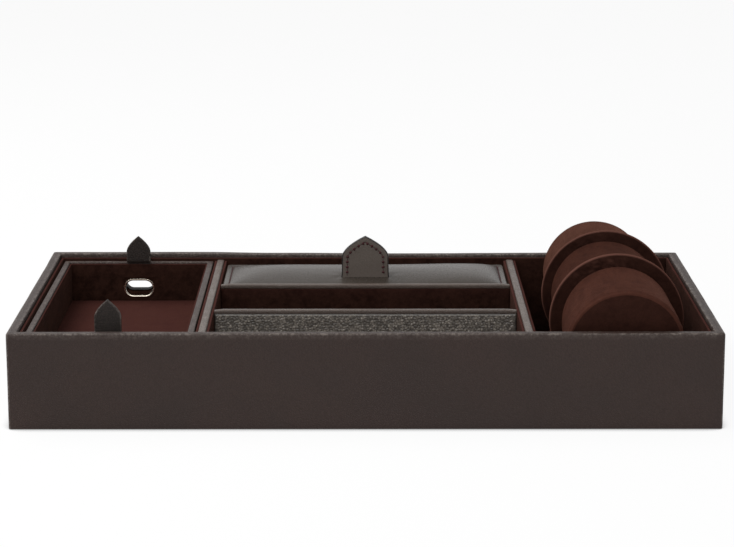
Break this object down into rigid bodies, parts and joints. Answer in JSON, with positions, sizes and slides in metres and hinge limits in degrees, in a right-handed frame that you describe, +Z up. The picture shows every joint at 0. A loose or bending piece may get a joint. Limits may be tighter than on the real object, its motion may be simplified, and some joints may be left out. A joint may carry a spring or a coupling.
{
  "type": "valet tray",
  "caption": "Leather-covered dresser valet tray with a lift-out phone tray with cable port, a hinged padded lid over one well, and a lift-out padded watch roll.",
  "frame": {"origin": "middle of the underside, on the surface that the tray stands on", "axes": "+X along the long side, left to right; +Y from the front wall to the back wall; +Z up"},
  "size_m": [0.37, 0.2, 0.0781],
  "materials": {
    "smooth_leather": "fine-grained dark brown leather, satin",
    "dark_leather": "fine-grained very dark brown leather, matte",
    "pebbled_leather": "pebbled dark brown leather",
    "suede": "dark brown suede, short nap",
    "base_cloth": "plain dark brown backing leather",
    "board": "raw fibre board",
    "hinge_cloth": "dark brown woven cloth",
    "foam": "soft upholstery foam",
    "thread": "waxed burgundy thread",
    "nickel": "polished nickel"
  },
  "bodies": {
    "case": {"back_board": "board", "back_divider_board": "board", "back_divider_cap": "smooth_leather", "back_liner": "suede", "base_board": "board", "base_cover": "base_cloth", "case_port_sleeve": "nickel", "divider_linings": "suede", "front_board": "board", "front_divider_board": "board", "front_divider_cap": "smooth_leather", "front_divider_panel": "pebbled_leather", "front_liner": "suede", "hinge_batten": "suede", "hinge_cloth": "hinge_cloth", "left_bay_floor": "suede", "left_board": "board", "left_partition_board": "board", "left_partition_cap": "smooth_leather", "lid_rests": "suede", "outer_cover": "smooth_leather", "partition_linings": "suede", "right_bay_floor": "suede", "right_board": "board", "right_partition_board": "board", "right_partition_cap": "smooth_leather", "side_liners": "suede", "tray_rests": "board", "well_floors": "suede"},
    "phone_tray": {"tray_back_board": "board", "tray_back_lining": "suede", "tray_base_board": "board", "tray_bottom_cover": "smooth_leather", "tray_cover": "smooth_leather", "tray_floor_lining": "suede", "tray_front_board": "board", "tray_port_sleeve": "nickel", "tray_side_boards": "board", "tray_tab_roots": "dark_leather", "tray_wall_linings": "suede"},
    "front_tab": {"front_tab": "dark_leather"},
    "rear_tab": {"rear_tab": "dark_leather"},
    "lid": {"lid_board": "board", "lid_cover": "smooth_leather", "lid_hinge_leaf": "hinge_cloth", "lid_lining": "suede", "lid_pad": "foam", "lid_tab_root": "smooth_leather"},
    "lid_tab": {"lid_tab_front_ply": "smooth_leather", "lid_tab_back_ply": "smooth_leather", "lid_tab_thread": "thread"},
    "watch_roll": {"roll_back_flange": "suede", "roll_back_sleeve": "suede", "roll_core": "board", "roll_end_discs": "suede", "roll_front_flange": "suede", "roll_front_sleeve": "suede", "roll_middle_sleeve": "suede"}
  },
  "joints": [
    {"name": "phone_tray_lift", "type": "slide", "parent": "case", "child": "phone_tray", "axis": [0, 0, 1], "range_m": [0, 0.08]},
    {"name": "front_tab_bend", "type": "hinge", "parent": "phone_tray", "child": "front_tab", "pos_m": [-0.13345, -0.0881, 0.0487], "axis": [1, 0, 0], "range_deg": [-40, 40], "stiffness_Nm_per_rad": 0.008},
    {"name": "rear_tab_bend", "type": "hinge", "parent": "phone_tray", "child": "rear_tab", "pos_m": [-0.13345, 0.0881, 0.0487], "axis": [1, 0, 0], "range_deg": [-40, 40], "stiffness_Nm_per_rad": 0.008},
    {"name": "lid_hinge", "type": "hinge", "parent": "case", "child": "lid", "pos_m": [0, 0.087, 0.0423], "axis": [-1, 0, 0], "range_deg": [0, 90]},
    {"name": "lid_tab_bend", "type": "hinge", "parent": "lid", "child": "lid_tab", "pos_m": [0, 0.043, 0.0512], "axis": [1, 0, 0], "range_deg": [-40, 40], "stiffness_Nm_per_rad": 0.02},
    {"name": "watch_roll_lift", "type": "slide", "parent": "case", "child": "watch_roll", "axis": [0, 0, 1], "range_m": [0, 0.09]}
  ]
}
